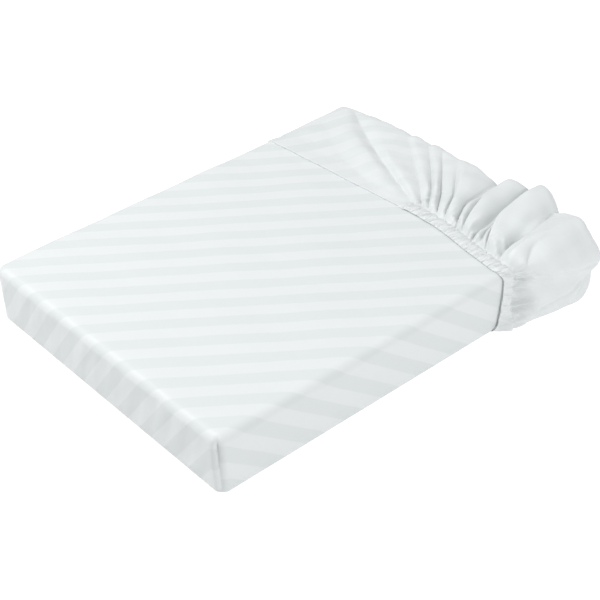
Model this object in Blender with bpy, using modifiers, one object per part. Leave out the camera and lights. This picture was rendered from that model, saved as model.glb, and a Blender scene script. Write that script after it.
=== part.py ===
"""Fitted sheet of striped satin, folded into a flat packet.

The cloth is one solid: back-and-forth layers, an outer ply that wraps them all round, and an
elasticated corner pocket turned over the packet's far end, where it puffs out in gathered folds.
The elastic sewn round the gathered half of the pocket's mouth is a solid of its own.

Frame: metres, +Z up. The origin is the middle of the packet's underside. +X runs along the packet
towards the pocket, and the near side of the packet is its -Y side.
"""

from math import pi

import bmesh
import bpy
import numpy as np

MM = 0.001

# Cloth: one ply, the air between two plies, and the folded layers under the outer ply.
PLY = 1.1 * MM
SLACK = 0.4 * MM
PITCH = PLY + SLACK
LAYERS = 27

# Packet: the folded block without the pocket.
LENGTH = 322 * MM
DEPTH = 250 * MM
HEIGHT = (LAYERS + 2) * PITCH - SLACK
UPRIGHT_RADIUS = 6 * MM
TOP_RADIUS = 5 * MM
FOOT_RADIUS = 3 * MM
UNDER_BORDER = 35 * MM
LAYER_INSET = 5 * MM
TOP_BORDER = 20 * MM
LEAST_RADIUS = 0.8 * MM
ARC_STEPS = 6
SIDE_STEPS = 8
TURN_STEPS = 5

# Near corner: the outer ply is tucked in along the upright edge, deepest at the top.
TUCK_DEPTH_TOP = 2.5 * MM
TUCK_DEPTH_FOOT = 0.8 * MM
TUCK_WIDTH = 2.2 * MM

# Pocket: its outside lies one ply and the slack outside the packet.
WRAP = PLY + SLACK
POCKET_TOP = HEIGHT + WRAP
POCKET_HALF_DEPTH = DEPTH / 2 + WRAP
POCKET_END = LENGTH / 2 + WRAP
POCKET_TOP_RADIUS = TOP_RADIUS + WRAP
POCKET_FOOT_RADIUS = FOOT_RADIUS + WRAP

# Mouth of the pocket: distance from the packet's near-left end, on each side of the packet, and
# where it bends away from its straight middle stretch on the top.
MOUTH_ON_TOP = 252 * MM
MOUTH_ON_NEAR_SIDE = 241 * MM
MOUTH_AT_FAR_EDGE = 246 * MM
MOUTH_UNDER = 239 * MM
NEAR_BEND_START = 75 * MM
NEAR_BEND_POWER = 1.2
FAR_BEND_START = 190 * MM
FAR_BEND_POWER = 1.5
UNDER_BEND_HEIGHT = 6 * MM

# Elastic edge: sewn on the outside of the hem, from the corner seam down to the underside.
ELASTIC_WIDTH = 10 * MM
ELASTIC_THICK = 1.0 * MM
SEWN_GAP = 0.4 * MM
ELASTIC_WRAP = WRAP + SEWN_GAP + ELASTIC_THICK
ELASTIC_UNDER = 30 * MM
ELASTIC_TOP_END = 108 * MM
HEM_REACH = 10.6 * MM
ELASTIC_ROOM = ELASTIC_THICK + 0.4 * MM

# Valleys between the pocket's folds. Place is the girth: the distance round the pocket from its near
# bottom edge, given at the hem, half way and at the end. Lift is how far the valley stands off the
# packet, and crown how far the fold between this valley and the next one rises above the two, both
# given half way and at the end. Rise is the distance from the hem within which they grow to that.
# Peak is the crown's share of the way to the next valley, and columns the number of mesh columns
# spent on the fold.
PLACE = slice(1, 4)
LIFT = slice(4, 6)
CROWN = slice(6, 8)
RISE = 8
PEAK = 9
COLUMNS = 10
FOLDS = (
    # name          place: hem half end  lift: half end  crown: half end  rise  peak  columns
    ("foot",          1.5,   1.5,   1.5,  17.0,  12.0,    3.0,   3.0, 10.0, 0.50,  6),
    ("near_crease",  40.0,  24.0,  13.0,  13.0,  12.0,    6.0,   6.0, 16.0, 0.36,  9),
    ("valley_3",     54.0,  58.0,  62.0,   5.0,   5.0,    9.0,   9.0, 14.0, 0.64,  8),
    ("valley_2",     83.0,  93.0, 105.0,   4.0,   4.0,    7.0,   6.0, 14.0, 0.62,  6),
    ("valley_1",    103.0, 116.0, 123.0,   3.5,   4.0,    6.0,   3.5, 14.0, 0.45,  6),
    ("groove",      127.0, 150.0, 183.0,   1.5,   3.0,    4.0,   1.0, 14.0, 0.50,  4),
    ("trough_c",    135.0, 160.0, 206.0,   1.5,   2.5,    3.0,   1.0, 14.0, 0.50,  4),
    ("trough_a",    143.0, 183.0, 228.0,   1.2,   2.0,    3.0,   1.0, 14.0, 0.50,  4),
    ("corner_seam", 152.0, 221.0, 279.0,   0.8,   1.0,    3.6,   0.6, 14.0, 0.40,  5),
    ("flat_hem",    163.0, 268.0, 286.0,   0.0,   0.0,    0.0,   0.0, 14.0, 0.50,  0),
)
PLACE_REACHES = (10 * MM, 40 * MM, 78 * MM)
HEIGHT_REACHES = (50 * MM, 80 * MM)
CROWN_ROUNDNESS = 0.75
FOOT_FADE = 60 * MM

# Rows along the pocket: shares of the run to the end's rounding, of the rounding and of the end.
RUN_SHARES = (0.0, 0.07, 0.135, 0.19, 0.26, 0.36, 0.48, 0.61, 0.75, 0.88, 1.0)
ROUNDING_SHARES = (0.34, 0.67, 1.0)
END_SHARES = (0.45, 0.75)
END_BULGE = 6 * MM
END_STANDOFF = 0.4

# Where the pocket's cloth runs on into the packet: one layer reaches the pocket's end.
TONGUE_LAYER = 19
TONGUE_NEAR_Y = 30 * MM
TONGUE_FAR_Y = 100 * MM
TONGUE_OVERLAP = 12 * MM

# Pieces that a union joins end this far inside each other's faces; the last layer's stub does so in
# the outer ply. Cutters leave a margin round what they make room for, and reach well beyond the cloth.
INSIDE = 0.1 * MM
STUB = 20 * MM
CUT_MARGIN = 1 * MM
BEYOND = 1.0

CLOTH_COLOUR = (0.86, 0.88, 0.88, 1.0)
ELASTIC_COLOUR = (0.90, 0.91, 0.91, 1.0)


def clear_scene():
    """Remove every object, so that the script builds on an empty scene."""
    for obj in list(bpy.data.objects):
        bpy.data.objects.remove(obj, do_unlink=True)


def new_collection(name):
    group = bpy.data.collections.new(name)
    bpy.context.scene.collection.children.link(group)
    return group


def fabric(name, colour, roughness):
    material = bpy.data.materials.new(name)
    material.use_nodes = True
    shader = material.node_tree.nodes["Principled BSDF"]
    shader.inputs["Base Color"].default_value = colour
    shader.inputs["Roughness"].default_value = roughness
    shader.inputs["Metallic"].default_value = 0.0
    return material


def smooth_step(x):
    x = np.clip(x, 0.0, 1.0)
    return x * x * (3.0 - 2.0 * x)


def steps(stops, counts):
    """Places from the first stop to the last, with a count of equal steps between two stops."""
    runs = [np.linspace(low, high, n, endpoint=False) for low, high, n in zip(stops, stops[1:], counts)]
    return np.concatenate(runs + [stops[-1:]])


def add_object(name, bm, group, material=None, helper=False):
    """Turn a bmesh into an object; a helper is a cutter or a piece that a union takes in."""
    mesh = bpy.data.meshes.new(name)
    bm.to_mesh(mesh)
    bm.free()
    mesh.shade_smooth()
    mesh.set_sharp_from_angle(angle=pi / 4)
    obj = bpy.data.objects.new(name, mesh)
    group.objects.link(obj)
    if material:
        mesh.materials.append(material)
    if helper:
        obj.hide_render = True
        obj.display_type = "WIRE"
    return obj


def grid_mesh(points, closed=False):
    """Quads over an array of points (rows, columns, xyz); closed joins the last column to the first."""
    rows, columns = points.shape[:2]
    bm = bmesh.new()
    verts = [[bm.verts.new(p) for p in row] for row in points]
    last = columns if closed else columns - 1
    for i in range(rows - 1):
        for j in range(last):
            k = (j + 1) % columns
            bm.faces.new((verts[i][j], verts[i + 1][j], verts[i + 1][k], verts[i][k]))
    return bm, verts


def thicken(obj, thickness, side):
    """Give an open surface its thickness: side -1 is inwards, 1 outwards."""
    shell = obj.modifiers.new("thickness", "SOLIDIFY")
    shell.thickness = thickness
    shell.offset = side
    shell.use_even_offset = False


def combine(obj, other, operation):
    step = obj.modifiers.new(operation.lower() + "_" + other.name, "BOOLEAN")
    step.operation = operation
    step.solver = "EXACT"
    step.object = other


def box(name, low, high, group):
    """A cutter or joining piece between two opposite corners."""
    bm = bmesh.new()
    bmesh.ops.create_cube(bm, size=1.0)
    bmesh.ops.scale(bm, vec=np.subtract(high, low), verts=bm.verts)
    bmesh.ops.translate(bm, vec=np.add(high, low) / 2, verts=bm.verts)
    return add_object(name, bm, group, helper=True)


# ---------------------------------------------------------------------------------------------
# Packet
# ---------------------------------------------------------------------------------------------

def outline(inset):
    """Points of a rounded rectangle, the packet's plan shrunk by the inset, from the near corner."""
    radius = max(UPRIGHT_RADIUS - inset, LEAST_RADIUS)
    core = np.array([LENGTH, DEPTH]) / 2 - inset - radius
    signs = np.array([(-1, -1), (1, -1), (1, 1), (-1, 1)])
    arcs = []
    for k, sign in enumerate(signs):
        angles = pi + k * pi / 2 + np.linspace(0.0, pi / 2, ARC_STEPS + 1)
        arcs.append(sign * core + radius * np.stack([np.cos(angles), np.sin(angles)], 1))
    points = []
    for arc, following in zip(arcs, arcs[1:] + arcs[:1]):
        share = np.linspace(0.0, 1.0, SIDE_STEPS + 1)[1:-1, None]
        points += [arc, arc[-1] + share * (following[0] - arc[-1])]
    return np.concatenate(points)


def outer_ply_rows():
    """Pairs of inset and height from the underside, round the foot and up to the top."""
    foot = np.linspace(-pi / 2, 0.0, 4)
    top = np.linspace(0.0, pi / 2, 5)
    rows = [(UNDER_BORDER, 0.0)]
    rows += [(FOOT_RADIUS * (1 - np.cos(a)), FOOT_RADIUS * (1 + np.sin(a))) for a in foot]
    rows += [(0.0, HEIGHT * 0.5)]
    rows += [(TOP_RADIUS * (1 - np.cos(a)), HEIGHT - TOP_RADIUS * (1 - np.sin(a))) for a in top]
    rows += [(TOP_BORDER, HEIGHT)]
    return rows


def tuck(points, height):
    """Press the near corner in: a groove that is deepest at the top of the upright edge."""
    corner = np.array([-LENGTH / 2, -DEPTH / 2]) + UPRIGHT_RADIUS * (1 - 0.5 ** 0.5)
    along = (points - corner) @ np.array([1.0, -1.0]) / 2 ** 0.5
    near = np.linalg.norm(points - corner, axis=1) < 3 * UPRIGHT_RADIUS
    share = smooth_step(height / (HEIGHT - TOP_RADIUS))
    depth = TUCK_DEPTH_FOOT + (TUCK_DEPTH_TOP - TUCK_DEPTH_FOOT) * share
    depth = depth * min(1.0, (HEIGHT - height) / TOP_RADIUS)
    groove = np.where(near, depth * np.exp(-((along / TUCK_WIDTH) ** 2)), 0.0)
    return points + groove[:, None] / 2 ** 0.5


def outer_ply(group, material):
    """The ply that wraps the packet: top, sides and underside."""
    loops = []
    for inset, height in outer_ply_rows():
        loop = outline(inset)
        if 0.0 < height < HEIGHT:
            loop = tuck(loop, height)
        loops.append(np.column_stack([loop, np.full(len(loop), height)]))
    bm, verts = grid_mesh(np.array(loops)[:, ::-1], closed=True)
    bm.faces.new(verts[0])
    bm.faces.new(verts[-1][::-1])
    obj = add_object("sheet", bm, group, material)
    thicken(obj, PLY, -1.0)
    return obj


def layer_section():
    """Outline in X and Z of the layers: one strip that runs back and forth.

    At each end it turns round a half circle into the next layer. The last turn leads into a short
    stub inside the outer ply's top.
    """
    ends = {1: LENGTH / 2 - LAYER_INSET, -1: -LENGTH / 2 + LAYER_INSET}
    outer = (PITCH + PLY) / 2
    inner = SLACK / 2
    angles = np.linspace(-pi / 2, pi / 2, TURN_STEPS + 1)
    sides = {1: [], -1: []}
    for k in range(LAYERS):
        way = 1 if k % 2 == 0 else -1
        centre = np.array([ends[way] - way * outer, (k + 1) * PITCH + PLY + SLACK / 2])
        arc = np.stack([way * np.cos(angles), np.sin(angles)], 1)
        sides[way].append(centre + outer * arc)
        sides[-way].append(centre + inner * arc)
    right = np.concatenate(sides[1])
    left = np.concatenate(sides[-1])
    right[-1, 1] -= INSIDE
    left[-1, 1] += INSIDE
    start_x = ends[-1] + 2 * PLY
    stub_x = ends[1] - STUB
    start = [(start_x, PITCH + PLY), (start_x, PITCH)]
    stub = [(stub_x, right[-1, 1]), (stub_x, left[-1, 1])]
    return np.concatenate([start, right, stub, left[::-1]])


def layers(group):
    """The folded layers: their section carried from the near side to the far side."""
    section = layer_section()
    half = DEPTH / 2 - LAYER_INSET
    rows = [np.insert(section, 1, y, axis=1) for y in (-half, half)]
    bm, verts = grid_mesh(np.array(rows), closed=True)
    bm.faces.new(verts[0])
    bm.faces.new(verts[-1][::-1])
    bmesh.ops.recalc_face_normals(bm, faces=bm.faces)
    return add_object("layers", bm, group, helper=True)


# ---------------------------------------------------------------------------------------------
# Pocket and elastic
# ---------------------------------------------------------------------------------------------

def girth_knots(half_depth, top, top_radius, foot_radius):
    """Knots of the rounded cross-section: girth, centre of the rounding, its radius and its angle.

    The girth starts at the near bottom edge and runs up the near side, over the top, down the far
    side and back under the packet. Between the knots everything is linear.
    """
    b, f, t = half_depth, foot_radius, top_radius
    rows = [
        (top - f - t, -b + f, f, f, 180),
        (t * pi / 2, -b + t, top - t, t, 180),
        (2 * b - 2 * t, -b + t, top - t, t, 90),
        (t * pi / 2, b - t, top - t, t, 90),
        (top - f - t, b - t, top - t, t, 0),
        (f * pi / 2, b - f, f, f, 0),
        (2 * b - 2 * f, b - f, f, f, -90),
        (f * pi / 2, -b + f, f, f, -90),
        (0.0, -b + f, f, f, -180),
    ]
    table = np.array(rows)
    girth = foot_radius + np.concatenate([[0.0], np.cumsum(table[:-1, 0])])
    return girth, table[:, 1], table[:, 2], table[:, 3], np.radians(table[:, 4])


def cross_section(girth, knots):
    """Point (y, z) and outward direction (y, z) at a girth."""
    places, core_y, core_z, radius, angle = knots
    wrapped = places[0] + np.mod(girth - places[0], places[-1] - places[0])
    turn = np.interp(wrapped, places, angle)
    out = np.stack([np.cos(turn), np.sin(turn)], -1)
    core = np.stack([np.interp(wrapped, places, core_y), np.interp(wrapped, places, core_z)], -1)
    return core + np.interp(wrapped, places, radius)[..., None] * out, out


POCKET_KNOTS = girth_knots(POCKET_HALF_DEPTH, POCKET_TOP, POCKET_TOP_RADIUS, POCKET_FOOT_RADIUS)
ELASTIC_KNOTS = girth_knots(
    DEPTH / 2 + ELASTIC_WRAP, HEIGHT + ELASTIC_WRAP, TOP_RADIUS + ELASTIC_WRAP, FOOT_RADIUS
)


def mouth_x(yz):
    """Where the mouth of the pocket lies, from the place (y, z) on the cross-section."""
    y = yz[..., 0] + DEPTH / 2
    z = yz[..., 1]
    near = np.clip((NEAR_BEND_START - y) / NEAR_BEND_START, 0.0, 1.0) ** NEAR_BEND_POWER
    far = np.clip((y - FAR_BEND_START) / (DEPTH - FAR_BEND_START), 0.0, 1.0) ** FAR_BEND_POWER
    top = MOUTH_ON_TOP - (MOUTH_ON_TOP - MOUTH_ON_NEAR_SIDE) * near
    top = top - (MOUTH_ON_TOP - MOUTH_AT_FAR_EDGE) * far
    under = smooth_step(1.0 - z / UNDER_BEND_HEIGHT)
    return top + (MOUTH_UNDER - top) * under - LENGTH / 2


def fold_table(columns):
    return np.array([fold[columns] for fold in FOLDS])


def fold_places(reach):
    """Girth of each valley at a distance from the mouth, with the valleys along a new last axis."""
    return np.stack([np.interp(reach, PLACE_REACHES, row) for row in fold_table(PLACE) * MM], -1)


def along(values, reach):
    """A lift or crown: its half-way value, led over into the end value by a smooth step."""
    start, end = HEIGHT_REACHES
    return values[..., 0] + (values[..., 1] - values[..., 0]) * smooth_step((reach - start) / (end - start))


def fold_height(index, share, reach):
    """How far the pocket stands off at a share of the way from a valley to the next one.

    The valleys' lifts are joined by a straight line, and the crown is a rounded half wave on it.
    Both grow from nothing at the hem.
    """
    following = np.minimum(index + 1, len(FOLDS) - 1)
    lifts = fold_table(LIFT) * MM
    lift = along(lifts[index], reach)
    lift = lift + (along(lifts[following], reach) - lift) * share
    bend = np.log(0.5) / np.log(fold_table(PEAK)[index])
    crown = along(fold_table(CROWN)[index] * MM, reach) * np.sin(pi * share ** bend) ** CROWN_ROUNDNESS
    rises = fold_table(RISE) * MM
    rise = rises[index] + (rises[following] - rises[index]) * share
    return (lift + crown) * smooth_step((reach - HEM_REACH) / rise)


def pocket_rows():
    """For each row: share of the run along the packet, turn round the end and shrinking on it."""
    extra = len(ROUNDING_SHARES) + len(END_SHARES)
    run = np.array(RUN_SHARES + (1.0,) * extra)
    turn = np.array((0.0,) * len(RUN_SHARES) + ROUNDING_SHARES + (1.0,) * len(END_SHARES)) * pi / 2
    shrink = np.array((0.0,) * (len(run) - len(END_SHARES)) + END_SHARES)
    return run[:, None], turn[:, None], shrink[:, None]


def pocket_columns():
    """For each column: valley before it, share of the way on, and its girth if it has no fold."""
    counts = [fold[COLUMNS] for fold in FOLDS]
    index = np.concatenate([np.full(n, k) for k, n in enumerate(counts)])
    share = np.concatenate([np.arange(n) / max(n, 1) for n in counts])
    places = POCKET_KNOTS[0]
    last_fold = FOLDS[-1][PLACE][-1] * MM
    near_foot = places[7] + (places[8] - places[7]) / 4
    plain = steps((last_fold, places[4], places[5], places[6], places[7], near_foot), (4, 1, 3, 5, 1))
    index = np.concatenate([index, np.full(len(plain), len(FOLDS) - 1)])
    share = np.concatenate([share, np.zeros(len(plain))])
    return index, share, np.concatenate([np.full(sum(counts), np.nan), plain])


def pocket_girths(index, share, plain, run):
    """Girth of each point, and its distance from the mouth, which decides where the folds lie."""
    following = np.minimum(index + 1, len(FOLDS) - 1)
    reach = np.zeros((len(run), len(index)))
    for _ in range(3):
        places = fold_places(reach)
        low = np.take_along_axis(places, index[None, :, None], -1)[..., 0]
        high = np.take_along_axis(places, following[None, :, None], -1)[..., 0]
        girth = np.where(np.isnan(plain), low + share * (high - low), plain)
        section, out = cross_section(girth, POCKET_KNOTS)
        start = mouth_x(section)
        reach = (POCKET_END - POCKET_TOP_RADIUS - start) * run
    return girth, section, out, start, reach


def pocket_surface():
    """Outside of the pocket: rows from the mouth to the end, columns round the girth.

    A point is the plain wrapped section at its girth, carried along X by the run, turned round the
    end's rounding, and pushed out by the height of its fold. Under the packet the first fold fades
    away from the near edge. On the end the section shrinks towards its middle line, and the last row
    lies in one plane.
    """
    run, turn, shrink = pocket_rows()
    index, share, plain = pocket_columns()
    girth, section, out, start, reach = pocket_girths(index, share, plain, run)
    places = POCKET_KNOTS[0]
    from_foot = smooth_step((girth - places[8] + FOOT_FADE) / FOOT_FADE)
    foot_height = from_foot * fold_height(0 * index, 0 * share, reach)
    height = np.where(np.isnan(plain), fold_height(index, share, reach), foot_height)
    low_down = (girth > places[6]) | (girth < places[0])
    out = np.where(low_down[..., None], np.array([-1.0, 0.0]), out)

    half_height = POCKET_TOP / 2
    medial = POCKET_HALF_DEPTH - half_height
    middle = np.stack([np.clip(section[..., 0], -medial, medial), 0 * girth + half_height], -1)
    inset = POCKET_TOP_RADIUS * (1 - np.cos(turn)) + shrink * (half_height - POCKET_TOP_RADIUS)
    flat = section + (middle - section) * (inset / half_height)[..., None]
    pushed = flat + out * (height * np.cos(turn))[..., None]
    raised = smooth_step(pushed[..., 1] / half_height)
    x = start + reach + (POCKET_TOP_RADIUS + height * END_STANDOFF * raised) * np.sin(turn)
    end_plane = POCKET_END + END_BULGE * (0.5 - pushed[..., 0] / DEPTH)
    x = x + (end_plane - x) * shrink / END_SHARES[-1]
    return np.stack([x, pushed[..., 0], np.maximum(pushed[..., 1], 0.0)], -1)


def pocket(group):
    """The turned-over corner: one ply over the packet's far end, closed at the end."""
    bm, verts = grid_mesh(pocket_surface(), closed=True)
    bm.faces.new(verts[-1][::-1])
    obj = add_object("pocket", bm, group, helper=True)
    thicken(obj, PLY, -1.0)
    return obj


def elastic_edge(group, material):
    """The elastic: a band on the outside of the hem, its thickness built inwards."""
    places = ELASTIC_KNOTS[0]
    foot_start = places[0] - FOOT_RADIUS * pi / 2
    top_end = places[2] + ELASTIC_TOP_END - TOP_RADIUS
    girths = steps((-ELASTIC_UNDER, foot_start, places[0], places[1], places[2], top_end), (3, 4, 3, 8, 9))
    yz, _ = cross_section(girths, ELASTIC_KNOTS)
    start = mouth_x(yz)
    rows = [np.column_stack([start + share * ELASTIC_WIDTH, yz]) for share in (0.0, 0.5, 1.0)]
    bm, _ = grid_mesh(np.array(rows))
    obj = add_object("elastic_edge", bm, group, material)
    thicken(obj, ELASTIC_THICK, -1.0)
    return obj


def tongue(group):
    """The strip where the pocket's cloth leaves its end for one of the layers."""
    low_z = TONGUE_LAYER * PITCH + INSIDE
    high_z = TONGUE_LAYER * PITCH + PLY - INSIDE
    low = (LENGTH / 2 - TONGUE_OVERLAP, TONGUE_NEAR_Y, low_z)
    high = (POCKET_END - SLACK, TONGUE_FAR_Y, high_z)
    return box("tongue", low, high, group)


def main():
    clear_scene()
    parts = new_collection("fitted_sheet")
    helpers = new_collection("helpers")
    satin = fabric("white_satin", CLOTH_COLOUR, 0.55)
    band = fabric("elastic_band", ELASTIC_COLOUR, 0.8)

    mouth = MOUTH_UNDER - LENGTH / 2
    pocket_room = box("pocket_room", (mouth - 2 * CUT_MARGIN, -BEYOND, -BEYOND),
                      (BEYOND, BEYOND, PITCH), helpers)
    elastic_room = box("elastic_room", (mouth - CUT_MARGIN, -BEYOND, -BEYOND),
                       (mouth + HEM_REACH, ELASTIC_UNDER + CUT_MARGIN - DEPTH / 2, ELASTIC_ROOM), helpers)

    sheet = outer_ply(parts, satin)
    combine(sheet, layers(helpers), "UNION")
    combine(sheet, pocket_room, "DIFFERENCE")
    combine(sheet, tongue(helpers), "UNION")
    combine(sheet, pocket(helpers), "UNION")
    combine(sheet, elastic_room, "DIFFERENCE")
    elastic_edge(parts, band)


main()
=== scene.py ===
"""Fitted sheet of striped satin, folded into a packet.

The looks of the part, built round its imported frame. The cloth of the packet, the gathered corner pocket
turned over its far end and the ruched elastic edge are surfaces worked out with numpy. Lengths in the
tables are millimetres, everything else is metres. X runs along the packet towards the pocket, the near
side is -Y, and Z is up.
"""

from contextlib import contextmanager
from math import cos, pi, radians, sin

import bmesh
import bpy
import numpy as np
from mathutils import Matrix, Vector


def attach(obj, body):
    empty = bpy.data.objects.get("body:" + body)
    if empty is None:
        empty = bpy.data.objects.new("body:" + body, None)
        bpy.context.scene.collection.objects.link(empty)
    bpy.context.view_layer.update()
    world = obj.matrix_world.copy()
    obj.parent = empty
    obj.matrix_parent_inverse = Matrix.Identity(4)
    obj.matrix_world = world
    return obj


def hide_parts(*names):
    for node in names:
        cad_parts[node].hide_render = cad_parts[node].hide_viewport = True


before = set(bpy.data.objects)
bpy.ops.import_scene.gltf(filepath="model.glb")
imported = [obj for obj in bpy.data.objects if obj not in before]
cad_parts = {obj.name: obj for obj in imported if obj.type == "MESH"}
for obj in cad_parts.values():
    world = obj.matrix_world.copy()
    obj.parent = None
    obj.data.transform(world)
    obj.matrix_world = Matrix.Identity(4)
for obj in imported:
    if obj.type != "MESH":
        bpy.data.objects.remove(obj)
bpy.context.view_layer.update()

bl_info = {
    "name": "Folded fitted sheet",
    "version": (1, 0, 0),
    "blender": (4, 5, 0),
    "location": "View3D > Sidebar > Fitted sheet",
    "description": "Builds a folded fitted sheet with its gathered corner pocket, and a stage round it",
    "category": "Add Mesh",
}

MM = 0.001
MERGE_DISTANCE = 0.02 * MM


def named_rows(columns, *rows):
    """A table as a list of rows, each a dictionary of its values by the names of the columns."""
    return [dict(zip(columns.split(), row)) for row in rows]


# -----
# Sizes that the frame was made with
# -----

PLY = 1.1 * MM
SLACK = 0.4 * MM
PITCH = PLY + SLACK
LAYERS = 27
LENGTH = 322 * MM
DEPTH = 250 * MM
HEIGHT = (LAYERS + 2) * PITCH - SLACK
TOP_RADIUS = 5 * MM
FOOT_RADIUS = 3 * MM
UPRIGHT_RADIUS = 6 * MM
LAYER_INSET = 5 * MM

WRAP = PLY + SLACK
POCKET_TOP = HEIGHT + WRAP
POCKET_HALF_DEPTH = DEPTH / 2 + WRAP
POCKET_END = LENGTH / 2 + WRAP
POCKET_TOP_RADIUS = TOP_RADIUS + WRAP
POCKET_FOOT_RADIUS = FOOT_RADIUS + WRAP

MOUTH_ON_TOP = 252 * MM
MOUTH_ON_NEAR_SIDE = 241 * MM
MOUTH_AT_FAR_EDGE = 246 * MM
MOUTH_UNDER = 239 * MM
NEAR_BEND_START = 75 * MM
NEAR_BEND_POWER = 1.2
FAR_BEND_START = 190 * MM
FAR_BEND_POWER = 1.5
# How far the hem sags towards the packet's middle, at distances from its near side.
SAG_PLACES = (-1.5, 0, 6, 40, 55, 80, 95, 110, 140, 165, 187, 206, 226, 242, 250)
SAGS = (-1, 0.3, 2.6, 3, 2, 1.8, 1.2, 2, 3, 4.2, 4.6, 4.9, 3.4, 2.2, 0.5)
# How far the mouth leans back at the foot of the near side.
NEAR_LEAN = 5.5 * MM
UNDER_BEND_HEIGHT = 6 * MM

# -----
# Folds of the pocket
# -----

# Distances from the mouth at which the tables below give their values.
REACHES = np.array((8, 16, 30, 50, 74)) * MM
REACH_SMOOTHING = 5 * MM
REACH_SHIFTS = 9
REACH_SAMPLES = 201
LONGEST_REACH = 100 * MM

# One row for each fold, from the near bottom edge over the top to the far edge. Girth is the distance
# round the pocket of the valley in front of the fold, lift the valley's height over the plain wrapped
# pocket, crest the girth at which the fold is highest, and crown its height there over the line between
# its two valleys. All are in millimetres, at REACHES. End says how far the pocket's end stands out at the
# valley and at the crest. Round holds the powers of the fold's front and back: above 1 they leave a soft
# valley, below 1 a sharp one. Lean moves the crest towards the far side. Columns counts mesh columns.
FOLDS = named_rows(
    "name girth lift crest crown end round lean columns",
    ("side_puff", (0, 0, 0, 0, 0), (8.6, 9.4, 12, 15.4, 18.5), (18, 17, 15, 12, 8), (1, 2, 2.5, 2.5, 1.5),
     (-18, -8), (0.8, 1.5), 0, 62),
    ("corner_puff", (36, 32.8, 28.6, 22.7, 16.5), (1.5, 5.5, 10.5, 14, 14.5), (36.8, 36.5, 35, 30, 23),
     (0.2, 1.5, 2.5, 3, 3.5), (-3, 4), (1.4, 1.1), 0, 26),
    ("corner_ridge", (38, 41, 46.5, 46.5, 42), (1, 4.5, 8.5, 9.5, 6.5), (46, 47.5, 48.4, 48.8, 50.5),
     (2, 5.5, 3.2, 1.2, 0.3), (1.5, 2.5), (0.8, 0.8), 0.1, 28),
    ("large_puff", (54, 57, 58.5, 58, 66), (0.2, 0.4, 3, 6, 3.6), (65.5, 70, 77.5, 82, 84),
     (3, 8, 9.5, 10, 10.5), (1, 6), (0.9, 1), 0.1, 40),
    ("thin_ridge", (68, 73, 82, 88, 92), (0.4, 4, 4.5, 4.6, 4.6), (70, 75, 83, 89, 93), (1, 3, 0.5, 0, 0),
     (6, 6), (0.9, 0.8), 0.1, 12),
    ("small_lobe", (75.5, 78.5, 84.5, 89.5, 94.5), (0.3, 2, 3.2, 4, 4.2), (80.5, 83.2, 85.3, 90, 95),
     (1.2, 4, 0.6, 0, 0), (5, 5), (0.8, 0.7), 0.1, 14),
    ("middle_puff", (83, 86.5, 86.5, 91, 98), (0.2, 0.8, 2.2, 4, 8), (92, 95.2, 100, 107.5, 110.5),
     (2, 6, 7.8, 7.5, 4.5), (4, 1.5), (0.9, 1), 0.1, 30),
    ("small_fold", (95, 99.5, 106, 112.5, 117.5), (0.3, 3.5, 5, 4, 3), (96.5, 103, 110.5, 113.8, 118.5),
     (1, 4, 3.5, 0.6, 0), (0, 0), (0.9, 0.6), 0.1, 16),
    ("far_puff", (100.5, 107.5, 115, 116.5, 121), (0.2, 0.8, 2.4, 3.2, 1.5), (112, 115.3, 123.3, 137.5, 150),
     (1.5, 5.4, 6.8, 6, 2.4), (-2, 1.5), (0.6, 1), 0.1, 30),
    ("sharp_ridge", (115, 119.5, 127, 145, 168), (0.3, 2, 2.8, 3.6, 4), (118.3, 122.5, 129, 150, 175),
     (1.2, 3, 2, 0.5, 0), (3.5, 4), (0.9, 0.7), 0.1, 14),
    ("low_ridge", (122, 128.5, 140, 159, 186), (0.2, 0.3, 1.2, 3.2, 4.6), (127, 133.3, 143.5, 164.5, 195),
     (1.6, 4.4, 4.8, 3, 1), (4.5, 5), (0.7, 0.9), 0.1, 18),
    ("lower_ridge", (130.5, 138, 148.5, 170, 200), (0.2, 0.3, 0.6, 2, 4), (133, 141.5, 153, 181, 215),
     (0.8, 1.8, 2.8, 2.8, 1.2), (4.5, 5), (0.9, 0.7), 0.1, 16),
    ("seam_right", (136.5, 145, 161, 188, 221), (0.1, 0.2, 0.6, 1.6, 3.6), (140.5, 152, 181, 219, 254),
     (0.9, 2.6, 3.6, 3.2, 1.5), (4.5, 4.5), (1, 1.5), 0, 26),
    ("seam_left", (147, 160.5, 193, 236, 282), (0.1, 0.1, 0, 0.2, 1.2), (164, 184, 212, 256, 286),
     (0.6, 2.2, 3.6, 3, 1), (4, 2.5), (1.2, 1.8), 0, 30),
    ("flat_hem", (187, 227, 260, 288, 295), (0, 0, 0.2, 0.4, 0.6), (200, 240, 270, 295, 300),
     (0, 0, 0, 0, 0), (1, 0.5), (1, 1), 0, 36),
    ("far_edge", (300, 300, 300, 300, 300), (0, 0, 0.2, 0.4, 0.6), (310, 310, 310, 310, 310),
     (0, 0, 0, 0, 0), (0, 0), (1, 1), 0, 0),
)
# The first fold of the panel on the far side of the corner seam.
SEAM_FOLD = [fold["name"] for fold in FOLDS].index("seam_left")

# Share of a fold's columns that is spent in front of its crest.
FRONT_COLUMNS = 0.55

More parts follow.
